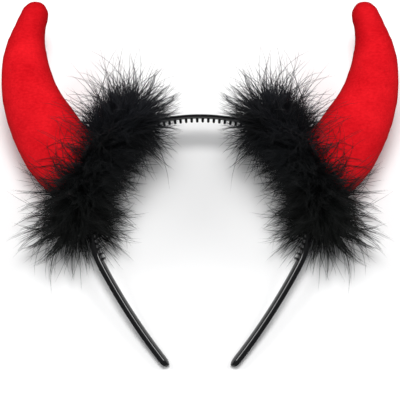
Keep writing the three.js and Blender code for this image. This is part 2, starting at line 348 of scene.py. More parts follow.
shape_with(
    teeth,
    "row",
    "ARRAY",
    count=TEETH_PER_SIDE,
    use_relative_offset=False,
    use_constant_offset=True,
    constant_offset_displace=(TOOTH_PITCH, 0, 0),
)
print("teeth on one side", TEETH_PER_SIDE, "with", len(teeth.data.polygons), "faces")

# %% [markdown]
# A Curve modifier bends the straight comb along a path: the round crown first, then a leg that is
# nearly straight. The path's tilt twists the strip, so that the legs show their inner faces to the
# front. The Bend modifier could only give one radius and no twist. A Mirror modifier then makes
# the other half, and the finished band is stood in its place. Smooth shading would tilt the flat faces
# towards their round edges and grey the gloss, so weighted normals keep the flat faces flat.

# %% Bend, mirror and place the band
LEG_TWIST = math.radians(24)
PATH_STEP = 1 * MM
MIRROR_SLACK = 0.4 * MM
SHARP_ANGLE = math.radians(38)


def face_outwards(piece):
    """Turns all faces of a closed piece to the outside."""
    only(piece)
    bpy.ops.object.mode_set(mode="EDIT")
    bpy.ops.mesh.select_all(action="SELECT")
    bpy.ops.mesh.normals_make_consistent(inside=False)
    bpy.ops.object.mode_set(mode="OBJECT")


path_data = bpy.data.curves.new("arch_path", "CURVE")
path_data.dimensions = "3D"
path_data.twist_mode = "Z_UP"
line = path_data.splines.new("POLY")
path_runs = np.arange(0, HALF_LENGTH + 2 * PATH_STEP, PATH_STEP)
line.points.add(len(path_runs) - 1)
for point, run in zip(line.points, path_runs):
    x, y, slope = arch_at(run)
    point.co = (x, y, 0, 1)
    point.tilt = -LEG_TWIST * leg_share(run)
path = bpy.data.objects.new("arch_path", path_data)
bpy.context.scene.collection.objects.link(path)

only(strip)
teeth.select_set(True)
bpy.ops.object.join()
shape_with(strip, "bend", "CURVE", object=path, deform_axis="POS_X")
bpy.data.objects.remove(path)

pick(strip, "VERT", lambda point: abs(point.co.x) < MIRROR_SLACK and point.co.y > -LEG_WIDTH)
bpy.ops.transform.resize(value=(0, 1, 1), center_override=(0, 0, 0))
bpy.ops.object.mode_set(mode="OBJECT")

shape_with(strip, "other_half", "MIRROR", merge_threshold=MIRROR_SLACK / 10)
strip.matrix_world = UPRIGHT @ Matrix.Rotation(math.radians(90), 4, "X")
bpy.ops.object.transform_apply(location=True, rotation=True, scale=True)
face_outwards(strip)
bpy.ops.object.shade_smooth_by_angle(angle=SHARP_ANGLE)
shape_with(strip, "flat_faces", "WEIGHTED_NORMAL", keep_sharp=True)
band = strip
band.name = "band_moulding"
print("band", [round(size / MM, 1) for size in band.dimensions], "mm")

# %% [markdown]
# A horn is a velvet cover stuffed tight with fibre. Its outline is the construction model's, so a
# copy of that solid is the pattern. It could be smoothed and left, but stuffed cloth has slow swells
# that a swept shape lacks. So the copy is made a little smaller and remeshed into even quads, ready
# to be blown up.

# %% A horn's cover, cut small
SHRINK = 0.6 * MM
VOXEL = 3.0 * MM

horn = bpy.data.objects.new("horn_cover_right", frame["nodes"]["horn_right"].data.copy())
bpy.context.scene.collection.objects.link(horn)
horn.data.materials.clear()
only(horn)
bpy.ops.object.mode_set(mode="EDIT")
bpy.ops.mesh.select_all(action="SELECT")
bpy.ops.mesh.remove_doubles(threshold=TOUCH)
bpy.ops.object.mode_set(mode="OBJECT")

shape_with(horn, "smaller", "DISPLACE", mid_level=0, strength=-SHRINK)
shape_with(horn, "even", "REMESH", mode="VOXEL", voxel_size=VOXEL)
print("cover", len(horn.data.polygons), "faces before stuffing")

# %% [markdown]
# A cloth simulation with pressure inside blows the cover up, as the stuffing does. The base is pinned
# where it is glued to the band, and no point may move further than a cap, so that the outline stays.
# Smoothing and subdivision then take the grid of the remesh out of it.

# %% Stuff the cover
PRESSURE = 150
COVER_MASS = 0.01
STUFFING_FRAMES = 30
SWELL_CAP = 2.4 * MM
DRUM_CENTRE = -64.75 * MM  # upright height of the middle of the drum that the horns stand on
HELD_RADIUS = 73 * MM  # the cover is glued down inside this distance from it
RELAX_SHARE = 0.5
RELAX_ROUNDS = 4
FINER_LEVELS = 2


def at_points(piece, what):
    """Places ("co") or normals ("normal") of a piece's points, one row each."""
    flat = np.empty(len(piece.data.vertices) * 3, np.float32)
    piece.data.vertices.foreach_get(what, flat)
    return flat.reshape(-1, 3)


def upright_places(piece):
    matrix = np.array(UPRIGHT.inverted())
    return at_points(piece, "co") @ matrix[:3, :3].T + matrix[:3, 3]


def set_places(piece, points):
    piece.data.vertices.foreach_set("co", points.astype(np.float32).ravel())
    piece.data.update()


cut = at_points(horn, "co")
place = upright_places(horn)
distance = np.hypot(place[:, 0], place[:, 2] - DRUM_CENTRE)
held = horn.vertex_groups.new(name="held")
held.add(np.nonzero(distance < HELD_RADIUS)[0].tolist(), 1.0, "REPLACE")
stuffing = horn.modifiers.new("stuffing", "CLOTH")
stuffing.settings.use_pressure = True
stuffing.settings.uniform_pressure_force = PRESSURE
stuffing.settings.mass = COVER_MASS
stuffing.settings.effector_weights.gravity = 0
stuffing.settings.vertex_group_mass = "held"
for number in range(1, STUFFING_FRAMES + 1):
    bpy.context.scene.frame_set(number)
bpy.ops.object.modifier_apply(modifier="stuffing")
bpy.context.scene.frame_set(1)
moved = at_points(horn, "co") - cut
far = np.linalg.norm(moved, axis=1, keepdims=True)
set_places(horn, cut + moved * np.minimum(1, SWELL_CAP / np.maximum(far, TOUCH)))
print("stuffing moved points up to", round(float(far.max()) / MM, 2), "mm, cap", SWELL_CAP / MM)

shape_with(horn, "relax", "SMOOTH", factor=RELAX_SHARE, iterations=RELAX_ROUNDS)
shape_with(horn, "finer", "SUBSURF", levels=FINER_LEVELS)
print("cover", len(horn.data.polygons), "faces")

# %% [markdown]
# Smoothing has made the cover smaller, as any fairing does, most of all at the narrow tip. Its loss
# is measured against the construction model at every point. Neighbours then share their losses, so
# that the cover is let out evenly and keeps the small swells of its stuffing.

# %% Let the cover out to its size
SHARING_ROUNDS = 60
EASE = 0.3 * MM  # kept for the seam's groove

pattern = BVHTree.FromObject(frame["nodes"]["horn_right"], bpy.context.evaluated_depsgraph_get())


def loss_of(piece):
    """How far each point of a piece lies inside the pattern."""
    losses = []
    for vertex in piece.data.vertices:
        spot, normal, _, _ = pattern.find_nearest(vertex.co)
        losses.append((spot - vertex.co).dot(normal))
    return np.array(losses)


def shared_with_neighbours(piece, values, rounds):
    """Values at a piece's points, each round replaced by the mean of the neighbours' values."""
    ends = np.empty(len(piece.data.edges) * 2, np.int32)
    piece.data.edges.foreach_get("vertices", ends)
    start, end = ends.reshape(-1, 2).T
    here, there = np.concatenate([start, end]), np.concatenate([end, start])
    count = np.bincount(here, minlength=len(values))
    for _ in range(rounds):
        values = np.bincount(here, values[there], len(values)) / count
    return values


def move_out(piece, distances):
    """Moves each point of a piece along its normal."""
    out = at_points(piece, "normal") * distances[:, None]
    set_places(piece, at_points(piece, "co") + out)


loss = loss_of(horn)
let_out = shared_with_neighbours(horn, loss, SHARING_ROUNDS) + EASE
move_out(horn, let_out)
print("cover was up to", round(loss.max() / MM, 2), "mm small, now", round(loss_of(horn).max() / MM, 2))

# %% [markdown]
# The cover is two panels of velvet, sewn together along the horn's outline. The seam is a shallow
# groove round the middle plane, with a small pucker at each stitch. It comes after the stuffing,
# because remeshing would have wiped it out. The vertices close to the plane are pulled in along
# their normals, most of all on the plane itself. An attribute keeps how near each point is to the
# seam plane, which runs round the horn's outline: the velvet finish paints shade there, a deeper
# red for the rims that turn away from the light.

# %% Seam and swells
SEAM_WIDTH = 1.1 * MM
SEAM_DEPTH = 0.4 * MM
RIM_SHADE_WIDTH = 6.5 * MM  # of the painted shade beside the seam plane
STITCH = 3.5 * MM
STITCH_SLANT = 0.6  # because the horn leans, stitches are counted along this slope
PUCKER = 0.25  # share by which the groove's depth swings along a stitch
SWELL_SIZE = 18 * MM
SWELL_DEPTH = 0.35 * MM

place = upright_places(horn)
near_seam = np.exp(-((place[:, 1] / SEAM_WIDTH) ** 2))
stitches = (place[:, 2] + STITCH_SLANT * place[:, 0]) / STITCH
pucker = 1 - PUCKER + PUCKER * np.cos(2 * math.pi * stitches)
move_out(horn, -SEAM_DEPTH * near_seam * pucker)
# Painted shade: a darker red near the seam plane, at the horn's rims.
painted_rim_shade = horn.data.attributes.new("painted_rim_shade", "FLOAT", "POINT")
painted_rim_shade.data.foreach_set("value", np.exp(-((place[:, 1] / RIM_SHADE_WIDTH) ** 2)).astype(np.float32))

swells = bpy.data.textures.new("stuffing_swells", "CLOUDS")
swells.noise_scale = SWELL_SIZE
shape_with(horn, "swells", "DISPLACE", texture=swells, texture_coords="LOCAL", strength=SWELL_DEPTH)
bpy.ops.object.shade_smooth()
horn.vertex_groups.clear()
print("horn", [round(size / MM, 1) for size in horn.dimensions], "mm")

# %% [markdown]
# The left horn is the right one mirrored. A negative scale turns a mesh inside out, so its normals
# are made to point outwards again.

# %% The left horn


def mirrored(piece, name):
    """A copy of a piece on the other side of the headband, with its own mesh."""
    twin = bpy.data.objects.new(name, piece.data.copy())
    bpy.context.scene.collection.objects.link(twin)
    only(twin)
    twin.scale.x = -1
    bpy.ops.object.transform_apply(location=True, rotation=True, scale=True)
    face_outwards(twin)
    return twin


horn_left = mirrored(horn, "horn_cover_left")
print("horns", horn.name, horn_left.name)

# %% [markdown]
# Marabou is soft down: thousands of fine barbs that leave a thin core and cling together in pointed
# locks. Hair particles could draw it, but they stay hairs and can't be handed on as a mesh. Here each
# barb is a thin tapered tube with three sides, and all the tubes of a piece are made at once from
# arrays of points.
#
# The core is a closed loop round the horn's base, an oval that is wrapped over the same drum as the
# horn. One function gives the place on it for any turn: 0 is the lower end, a quarter turn on is the
# middle of the back, and half a turn is the upper end.

# %% The core of the feather loop
LOOP_RADIUS = 73.5 * MM  # of the drum that the core lies on
LOOP_ANGLE = math.radians(62)  # from the top of the drum to the loop's middle
LOOP_HALF_LENGTH = 34 * MM
LOOP_HALF_DEPTH = 20.5 * MM
LOOP_STEPS = 720


def core_point(turn):
    """Place on the core, upright."""
    sweep = LOOP_ANGLE + LOOP_HALF_LENGTH * np.cos(turn) / LOOP_RADIUS
    x = LOOP_RADIUS * np.sin(sweep)
    y = LOOP_HALF_DEPTH * np.sin(turn)
    z = DRUM_CENTRE + LOOP_RADIUS * np.cos(sweep)
    return np.stack([x, y, z], axis=-1)


fine_turns = np.linspace(0, 2 * math.pi, LOOP_STEPS + 1)
steps = np.linalg.norm(np.diff(core_point(fine_turns), axis=0), axis=1)
core_run = np.concatenate([[0], np.cumsum(steps)])
print("the feather strip is", round(core_run[-1] / MM), "mm long")

# %% [markdown]
# At any turn round the core, a barb can point away from the loop, out along the horn, or along the
# core. Its aim is the angle from the first of these to the second, and its lean is its share of the
# third. The random draws have a seed, so that each run grows the same feathers.

# %% Where barbs leave the core
SEED = 31
TURN_STEP = 0.01  # to each side, to find the core's direction
TINY = 1e-12

draw = np.random.default_rng(SEED)


def unit(vectors):
    return vectors / np.maximum(np.linalg.norm(vectors, axis=-1, keepdims=True), TINY)


def headings(turn, aim, lean):
    """Roots on the core and the directions in which barbs leave it."""
    point = core_point(turn)
    outward = unit((point - [0, 0, DRUM_CENTRE]) * [1, 0, 1])
    along = unit(core_point(turn + TURN_STEP) - core_point(turn - TURN_STEP))
    away = unit(np.cross(along, outward))
    aim = np.radians(aim)[:, None]
    return point, unit(away * np.cos(aim) + outward * np.sin(aim) + along * lean[:, None])


def even_turns(count):
    """Turns that are spread evenly along the core, with some jitter."""
    wanted = (np.arange(count) + draw.random(count)) / count * core_run[-1]
    return np.interp(wanted, core_run, fine_turns)


def side_directions(heading):
    """Two directions square to each heading, turned at random about it."""
    first = unit(np.cross(heading, draw.normal(size=heading.shape)))
    return first, np.cross(heading, first)


print("upper end of the core", np.round(core_point(math.pi) / MM, 1), "mm")

# %% [markdown]
# A lock is a bundle of barbs that leave the core together, spread, and close to a point. Its axis is
# a gentle curve. Each barb follows the axis at its own distance, and stops at its own length, so the
# lock's end is soft. The aim runs from the wearer's head (-90) over straight away from the loop (0)
# to along the horn (90). At the front the fluff is parted and leaves the horn's base in sight, so
# the aims end earlier there. Locks are also shorter or longer at the loop's ends.

# %% Aims and lengths of the locks
LOCK_AIM = (-102, 80)
FRONT_TURN = 1.48 * math.pi
FRONT_PARTING = 60  # taken off the last aim in the middle of the front
PARTING_WIDTH = 0.5
LOCK_REACH = (25 * MM, 43 * MM)
END_WIDTH = 0.9  # of the loop's ends, as a turn
FULL_AIM = 40  # from here on an aim counts as wholly along the horn or towards the head
UPPER_END_CUT = 0.2  # locks along the horn are shorter at the loop's upper end
LOWER_END_GAIN = 0.16  # and longer at its lower end
INNER_CUT = (0.14, 0.27)  # towards the head, everywhere and at the upper end


def last_aim(turn):
    """The steepest aim along the horn at a turn round the core."""
    return LOCK_AIM[1] - FRONT_PARTING * np.exp(-(((turn - FRONT_TURN) / PARTING_WIDTH) ** 2))


def lock_reach(turn, aim):
    """How far locks reach, for their turns and aims."""
    upper_end = np.exp(-(((turn - math.pi) / END_WIDTH) ** 2))
    lower_end = np.exp(-((np.minimum(turn, 2 * math.pi - turn) / END_WIDTH) ** 2))
    upward = np.clip(aim / FULL_AIM, 0, 1)
    inward = np.clip(-aim / FULL_AIM, 0, 1)
    inner_cut = INNER_CUT[0] + (INNER_CUT[1] - INNER_CUT[0]) * upper_end
    cut = (UPPER_END_CUT * upper_end - LOWER_END_GAIN * lower_end) * upward + inner_cut * inward
    return draw.uniform(*LOCK_REACH, len(turn)) * (1 - cut)


print("last aims at the back and the front", np.round(last_aim(np.array([0.5, 1.5]) * math.pi)))

# %% [markdown]
# With these, the barbs of all locks are drawn together: the first axis of each array counts the
# locks, the second the barbs in a lock, and the third the points along a barb.

# %% Barbs of the locks
LOCKS = 560
BARBS_PER_LOCK = 12
LOCK_POINTS = 6
LOCK_LEAN = 0.3
LOCK_SPREAD = (1.3 * MM, 3.4 * MM)
LOCK_CLOSE = (0.8, 1.0)  # how far a lock's end closes
LOCK_BEND = 0.32  # sideways, as a share of its reach
LOCK_HOOK = 0.12  # and back near its end
ROOT_SPREAD = 0.06  # share of its spread that a lock has at its root
BARB_CUT = 0.45  # share of its length that the shortest barb lacks
CUT_POWER = 1.5  # above 1, more of a lock's barbs are long
BARB_WAVE = 0.6 * MM
WAVE_PACE = (7, 6)  # to one side and to the other
TONE_SHARES = (0.7, 0.3)  # of the lock and of the barb


def lock_barbs():
    turn = even_turns(LOCKS)
    share_of_aim = draw.permutation((np.arange(LOCKS) + 0.5) / LOCKS)
    aim = LOCK_AIM[0] + share_of_aim * (last_aim(turn) - LOCK_AIM[0])
    root, heading = headings(turn, aim, draw.normal(0, LOCK_LEAN, LOCKS))
    side, other = side_directions(heading)
    reach = lock_reach(turn, aim)
    spread = draw.uniform(*LOCK_SPREAD, LOCKS)
    close = draw.uniform(*LOCK_CLOSE, LOCKS)
    bend = draw.normal(0, LOCK_BEND, LOCKS) * reach
    hook = draw.normal(0, LOCK_HOOK, LOCKS) * reach
    reach, spread, close, bend, hook = (v[:, None, None] for v in (reach, spread, close, bend, hook))

    shape = (LOCKS, BARBS_PER_LOCK, 1)
    length = 1 - BARB_CUT * draw.random(shape) ** CUT_POWER
    share = np.linspace(0, 1, LOCK_POINTS) * length
    angle = draw.uniform(0, 2 * math.pi, shape)
    ring = np.sqrt(draw.random(shape))
    wave = draw.uniform(0, 2 * math.pi, shape)
    width = spread * ((1 - close) * share + close * np.sin(math.pi * share) + ROOT_SPREAD)
    ripple = BARB_WAVE * share * np.sin(WAVE_PACE[0] * share + wave)
    first = width * ring * np.cos(angle) + ripple + bend * share**2
    ripple = BARB_WAVE * share * np.cos(WAVE_PACE[1] * share + wave)
    second = width * ring * np.sin(angle) + ripple + hook * share**2 * (3 * share - 2)
    steps = (reach * share, first, second)
    axes = (heading, side, other)
    paths = sum(step[..., None] * axis[:, None, None] for step, axis in zip(steps, axes))
    paths = paths + root[:, None, None]
    lock_tone = np.repeat(draw.random(LOCKS), BARBS_PER_LOCK)
    tone = lock_tone * TONE_SHARES[0] + TONE_SHARES[1] * draw.random(len(lock_tone))
    return paths.reshape(-1, LOCK_POINTS, 3), tone


lock_paths, lock_tones = lock_barbs()
print("barbs in locks", len(lock_paths))

# %% [markdown]
# Between the locks lies short down, which hides the core. It leaves every part of the core in every
# direction and curls. The shortest down leans over on to the horn and fills the slit between the
# loop and the velvet.

# %% Short down
DOWN_BARBS = 7900
DOWN_POINTS = 4
DOWN_REACH = (12 * MM, 28 * MM)
DOWN_AIM = (-115, 95)
DOWN_LEAN = 0.55
DOWN_CURL = 0.35
SLIT_BARBS = 1500
GAP_BARBS = 1000  # more of them at the loop's upper end, where the slit is widest
GAP_SPREAD = 0.5
SLIT_REACH = (5 * MM, 12 * MM)
SLIT_AIM = (120, 215)
END_SLIT = 13 * MM  # the slit is wider by this at the loop's ends
ROOT_JITTER = 2.5 * MM
CURL_RIPPLE = 0.12
RIPPLE_PACE = 5
SWING_BACK = 0.7  # share of a sideways swing that is gone again at the tip
CURL_LOSS = 0.25  # of reach, because a curled barb ends nearer to its root


def curled_barbs(turn, aim, lean, reach, curl, points):
    """Single barbs that bend to one side and back."""
    count = len(turn)
    root, heading = headings(turn, aim, lean)
    side, other = side_directions(heading)
    root = root + draw.normal(0, ROOT_JITTER, (count, 3))
    share = np.linspace(0, 1, points)[None, :]
    sway = draw.normal(0, 1, (count, 1)) * curl
    swing = draw.normal(0, 1, (count, 1)) * curl
    phase = draw.uniform(0, 2 * math.pi, (count, 1))
    ripple = CURL_RIPPLE * curl * np.sin(RIPPLE_PACE * share + phase) * share
    first = reach[:, None] * (sway * share**2 + ripple)
    second = reach[:, None] * (swing * share**2 * (1 - SWING_BACK * share))
    ahead = reach[:, None] * (share - CURL_LOSS * (sway**2 + swing**2) * share**3)
    steps = (ahead, first, second)
    axes = (heading, side, other)
    return root[:, None, :] + sum(step[..., None] * axis[:, None, :] for step, axis in zip(steps, axes))


def down_barbs():
    turn = even_turns(DOWN_BARBS)
    span = last_aim(turn) + DOWN_AIM[1] - LOCK_AIM[1] - DOWN_AIM[0]
    aim = DOWN_AIM[0] + draw.random(DOWN_BARBS) * span
    lean = draw.normal(0, DOWN_LEAN, DOWN_BARBS)
    reach = draw.uniform(*DOWN_REACH, DOWN_BARBS)
    return curled_barbs(turn, aim, lean, reach, DOWN_CURL, DOWN_POINTS)


def slit_barbs():
    slit_turns = even_turns(SLIT_BARBS)
    gap_turns = math.pi + draw.normal(0, GAP_SPREAD, GAP_BARBS)
    turn = np.concatenate([slit_turns, gap_turns])
    aim = draw.uniform(*SLIT_AIM, len(turn))
    lean = draw.normal(0, DOWN_LEAN, len(turn))
    reach = draw.uniform(*SLIT_REACH, len(turn)) + END_SLIT * np.cos(turn) ** 2
    return curled_barbs(turn, aim, lean, reach, DOWN_CURL, DOWN_POINTS)


down_paths = np.concatenate([down_barbs(), slit_barbs()])
print("down", len(down_paths), "barbs")

# %% [markdown]
# Long single barbs stand out of the fluff and make its edge airy, most of all at the loop's upper end
# and over the front of the horn. Each row of the table says where they leave the core, in half turns,
# and how far to each side; then their aims, their reach in millimetres, their curl and their number.

# %% Stray barbs
STRAY_POINTS = 9
STRAYS = [
    # up and out at the upper end, and down over the crown
    {"at": 1.0, "spread": 1.1, "aim": (-10, 80), "reach": (30, 47), "curl": 0.6, "count": 330},
    {"at": 1.0, "spread": 0.8, "aim": (-78, -15), "reach": (24, 38), "curl": 0.35, "count": 130},
    # over the front of the horn
    {"at": 1.5, "spread": 1.1, "aim": (45, 88), "reach": (18, 40), "curl": 0.8, "count": 170},
    # at the lower end
    {"at": 0.0, "spread": 1.4, "aim": (-70, 80), "reach": (30, 44), "curl": 0.4, "count": 200},
    # towards the head, all the way round
    {"at": 0.0, "spread": math.pi, "aim": (-112, -50), "reach": (26, 38), "curl": 0.4, "count": 180},
    # at the back
    {"at": 0.5, "spread": 1.2, "aim": (-20, 70), "reach": (28, 44), "curl": 0.4, "count": 80},
    # fringes on both sides of the parting
    {"at": 1.27, "spread": 0.25, "aim": (50, 88), "reach": (14, 27), "curl": 0.5, "count": 120},
    {"at": 1.7, "spread": 0.25, "aim": (45, 88), "reach": (14, 27), "curl": 0.5, "count": 150},
    # behind the leg, and over the end of the bare crown
    {"at": 0.13, "spread": 0.3, "aim": (-62, -22), "reach": (28, 41), "curl": 0.25, "count": 150},
    {"at": 1.12, "spread": 0.18, "aim": (-38, -8), "reach": (36, 46), "curl": 0.15, "count": 190},
]


def stray_barbs(kind):
    count = kind["count"]
    turn = kind["at"] * math.pi + draw.uniform(-kind["spread"], kind["spread"], count)
    aim = draw.uniform(*kind["aim"], count)
    reach = draw.uniform(*kind["reach"], count) * MM
    lean = draw.normal(0, LOCK_LEAN, count)
    return curled_barbs(turn, aim, lean, reach, kind["curl"], STRAY_POINTS)


stray_paths = np.concatenate([stray_barbs(kind) for kind in STRAYS])
print("strays", len(stray_paths), "barbs")

# %% [markdown]
# Feathers lie against what they touch. Barbs that would run into the horn are moved out to its
# velvet, and barbs at the back are pressed flat, because the headband's weight lies on them. The
# press is smooth: it leaves what is high alone and lets nothing through the surface. Below the loop
# the band comes out in front of the fluff, so barbs that would hang over it there are trimmed away.

# %% Keep the barbs off the horn, the leg and the floor
HORN_CLEAR = (0.35 * MM, 1.2 * MM)
HORN_NEAR = 30 * MM  # further away no horn is looked for
PRESS_HEIGHT = 12 * MM
FLOOR_CLEAR = 0.3 * MM
TOP_HEIGHT = cad_high[2] + 10 * MM  # barbs that reach higher are left out
FLUFF_SIDES = (9 * MM, 115 * MM)  # and so are those that reach further in or out
BARE_SWEEP = math.radians(99)  # from here down the band's front is bare
BARE_RADII = (55 * MM, 67 * MM)
CHECKS_PER_STEP = 4

horn_tree = BVHTree.FromObject(horn, bpy.context.evaluated_depsgraph_get())


def off_the_leg(paths):
    """Which of the barbs stay clear of the front of the bare leg."""
    clear = np.ones(len(paths), bool)
    for share in np.arange(CHECKS_PER_STEP) / CHECKS_PER_STEP:
        x, y, z = np.moveaxis(paths[:, :-1] * (1 - share) + paths[:, 1:] * share, -1, 0)
        radius = np.hypot(x, z - DRUM_CENTRE)
        over = (np.arctan2(x, z - DRUM_CENTRE) > BARE_SWEEP) & (y < LEG_WIDTH)
        over &= (radius > BARE_RADII[0]) & (radius < BARE_RADII[1])
        clear &= ~over.any(axis=1)
    return clear


def settle(paths):
    """Barb paths on the lying headband, clear of the right horn and above the surface."""
    matrix = np.array(UPRIGHT)
    points = paths.reshape(-1, 3) @ matrix[:3, :3].T + matrix[:3, 3]
    clear = draw.uniform(*HORN_CLEAR, len(points))
    for i, point in enumerate(points):
        spot, normal, _, _ = horn_tree.find_nearest(Vector(point), HORN_NEAR)
        if spot is not None and (Vector(point) - spot).dot(normal) < clear[i]:
            points[i] = spot + normal * clear[i]
    low = points[:, 2] < PRESS_HEIGHT
    room = PRESS_HEIGHT - FLOOR_CLEAR
    points[low, 2] = FLOOR_CLEAR + room * np.exp((points[low, 2] - PRESS_HEIGHT) / room)
    return points.reshape(paths.shape)


def trimmed(paths, tones):
    """The barbs that are neither over the leg nor out of bounds, settled, with their tones."""
    kept = off_the_leg(paths)
    paths, tones = settle(paths[kept]), tones[kept]
    across = paths[..., 0]
    kept = (paths[..., 2].max(axis=1) < TOP_HEIGHT) & (across.min(axis=1) > FLUFF_SIDES[0])
    kept &= across.max(axis=1) < FLUFF_SIDES[1]
    return paths[kept], tones[kept]


lock_paths, lock_tones = trimmed(lock_paths, lock_tones)
down_paths, down_tones = trimmed(down_paths, draw.random(len(down_paths)))
stray_paths, stray_tones = trimmed(stray_paths, draw.random(len(stray_paths)))
print("kept", len(lock_paths), "lock barbs,", len(down_paths), "down,", len(stray_paths), "strays")

# %% [markdown]
# Each path becomes a closed tube: three corners round every point, one point for the tip, and a
# small face at the root. The corners are found for all barbs together. Two values go with each
# corner for the finish: how far along its barb it is, and the barb's tone.

# %% Tubes from paths
SIDES = 3
TIP_TAPER = 0.75  # share of its radius that a barb loses


def barb_tubes(paths, radius, tone):
    """Corner points, quads, triangles and attributes of closed tapered tubes along the paths."""
    count, points = paths.shape[:2]
    heading = unit(np.gradient(paths, axis=1))
    first = unit(np.cross(heading, unit(draw.normal(size=(count, 1, 3)))))
    second = np.cross(heading, first)
    share = np.linspace(0, 1, points)
    taper = radius * (1 - TIP_TAPER * share)
    rings = []
    for k in range(SIDES):
        angle = 2 * math.pi * k / SIDES
        rings.append(paths + taper[:, None] * (first * math.cos(angle) + second * math.sin(angle)))
    body = np.stack(rings, axis=2)[:, :-1].reshape(count, -1, 3)
    corners = np.concatenate([body, paths[:, -1:]], axis=1)

    ring = np.arange(SIDES)
    ahead = np.roll(ring, -1)
    start = SIDES * np.arange(points - 2)[:, None]
    quads = np.stack([start + ring, start + ahead, start + SIDES + ahead, start + SIDES + ring], axis=-1)
    last = SIDES * (points - 2)
    tip = np.stack([last + ring, last + ahead, np.full(SIDES, last + SIDES)], axis=-1)
    triangles = np.concatenate([tip, [ring[::-1]]])
    base = (np.arange(count) * corners.shape[1])[:, None, None]
    along = np.append(np.repeat(share[:-1], SIDES), 1)
    return (
        corners.reshape(-1, 3),
        (quads.reshape(1, -1, 4) + base).reshape(-1, 4),
        (triangles[None] + base).reshape(-1, 3),
        np.tile(along, count),
        np.repeat(tone, corners.shape[1]),
    )


print("a lock's barb has", SIDES * (LOCK_POINTS - 1) + 1, "corners")

# %% [markdown]
# Blender takes a whole mesh as flat lists: the corners, the corner numbers of all faces one after the
# other, and where each face starts. That is far quicker than adding a hundred thousand faces one by
# one. Strays are the thickest barbs, so that single ones show, and down is the finest.

# %% The feather pieces
LOCK_RADIUS = 0.23 * MM
DOWN_RADIUS = 0.2 * MM
STRAY_RADIUS = 0.26 * MM


def feather_mesh(name, paths, radius, tones):
    """One piece from the tubes of all its barbs."""
    corners, quads, triangles, along, tone = barb_tubes(paths, radius, tones)
    mesh = bpy.data.meshes.new(name)
    mesh.vertices.add(len(corners))
    mesh.vertices.foreach_set("co", corners.astype(np.float32).ravel())
    mesh.loops.add(quads.size + triangles.size)
    numbers = np.concatenate([quads.ravel(), triangles.ravel()])
    mesh.loops.foreach_set("vertex_index", numbers.astype(np.int32))
    starts = [4 * np.arange(len(quads)), quads.size + 3 * np.arange(len(triangles))]
    mesh.polygons.add(len(quads) + len(triangles))
    mesh.polygons.foreach_set("loop_start", np.concatenate(starts).astype(np.int32))
    mesh.update(calc_edges=True)
    for label, values in (("along", along), ("tone", tone)):
        attribute = mesh.attributes.new(label, "FLOAT", "POINT")
        attribute.data.foreach_set("value", values.astype(np.float32))
    mesh.shade_smooth()
    piece = bpy.data.objects.new(name, mesh)
    bpy.context.scene.collection.objects.link(piece)
    print(name, 2 * len(quads) + len(triangles), "triangles")
    return piece


locks = feather_mesh("marabou_locks_right", lock_paths, LOCK_RADIUS, lock_tones)
down = feather_mesh("marabou_down_right", down_paths, DOWN_RADIUS, down_tones)
strays = feather_mesh("marabou_strays_right", stray_paths, STRAY_RADIUS, stray_tones)
locks_left = mirrored(locks, "marabou_locks_left")
down_left = mirrored(down, "marabou_down_left")
strays_left = mirrored(strays, "marabou_strays_left")

# %% [markdown]
# A finish is a small net of nodes. One function adds any node to a net with its settings,
# and gives each of its sockets a fixed value or a link from another node.
#
# The three finishes share one effect, a patchy value that drifts over the surface. It is a node
# group, so that it is built once. Velvet uses it for its brushed nap, plastic for faint differences
# in gloss, and feathers for the drift of their tone.

# %% A shared patchy value
NOISE_MIDDLE = (0.3, 0.7)  # most values of a noise lie between these


def feed(net, node, sockets):
    """Gives each socket of a node its fixed value, or a link from another node's socket."""
    for name, value in sockets.items():
        if isinstance(value, bpy.types.NodeSocket):
            net.links.new(value, node.inputs[name])
        else:
            node.inputs[name].default_value = value


def new_node(net, kind, sockets, **settings):
    node = net.nodes.new(kind)
    for setting, value in settings.items():
        setattr(node, setting, value)
    feed(net, node, sockets)
    return node


def patchy_group():
    group = bpy.data.node_groups.new("patchy", "ShaderNodeTree")
    group.interface.new_socket("Vector", in_out="INPUT", socket_type="NodeSocketVector")
    for name in ("Scale", "Detail", "Low", "High"):
        group.interface.new_socket(name, in_out="INPUT", socket_type="NodeSocketFloat")
    group.interface.new_socket("Value", in_out="OUTPUT", socket_type="NodeSocketFloat")
    given = group.nodes.new("NodeGroupInput").outputs
    pattern = {name: given[name] for name in ("Vector", "Scale", "Detail")}
    noise = new_node(group, "ShaderNodeTexNoise", pattern)
    ends = {"To Min": given["Low"], "To Max": given["High"]}
    ends["From Min"], ends["From Max"] = NOISE_MIDDLE
    spread = new_node(group, "ShaderNodeMapRange", {"Value": noise.outputs["Fac"], **ends})
    new_node(group, "NodeGroupOutput", {"Value": spread.outputs["Result"]})
    return group


PATCHY = patchy_group()
print("shared group", PATCHY.name, [socket.name for socket in PATCHY.interface.items_tree])

# %% [markdown]
# A few more steps come back in the finishes, so each of them is a short function that gives back what
# comes out of its node. Patterns hang on the object's own coordinates, because no piece has been
# unwrapped.

# %% Steps that finishes share


def new_finish(name):
    """A new material and its net of nodes."""
    material = bpy.data.materials.new(name)
    material.use_nodes = True
    return material, material.node_tree


def own_place(net):
    return new_node(net, "ShaderNodeTexCoord", {}).outputs["Object"]


def patchy(net, scale, detail, values=(0, 1), stretch=(1, 1, 1)):
    """A patchy value in a range. A stretch below 1 draws its patches out along an axis."""
    place = new_node(net, "ShaderNodeMapping", {"Vector": own_place(net), "Scale": stretch})
    sockets = {"Vector": place.outputs["Vector"], "Scale": scale, "Detail": detail}
    sockets["Low"], sockets["High"] = values
    return new_node(net, "ShaderNodeGroup", sockets, node_tree=PATCHY).outputs["Value"]


def own_value(net, label):
    """A value that the mesh itself carries."""
    return new_node(net, "ShaderNodeAttribute", {}, attribute_name=label).outputs["Fac"]


def scaled_sum(net, value, factor, other):
    """A value times a factor, plus another value."""
    sockets = {0: value, 1: factor, 2: other}
    return new_node(net, "ShaderNodeMath", sockets, operation="MULTIPLY_ADD").outputs[0]


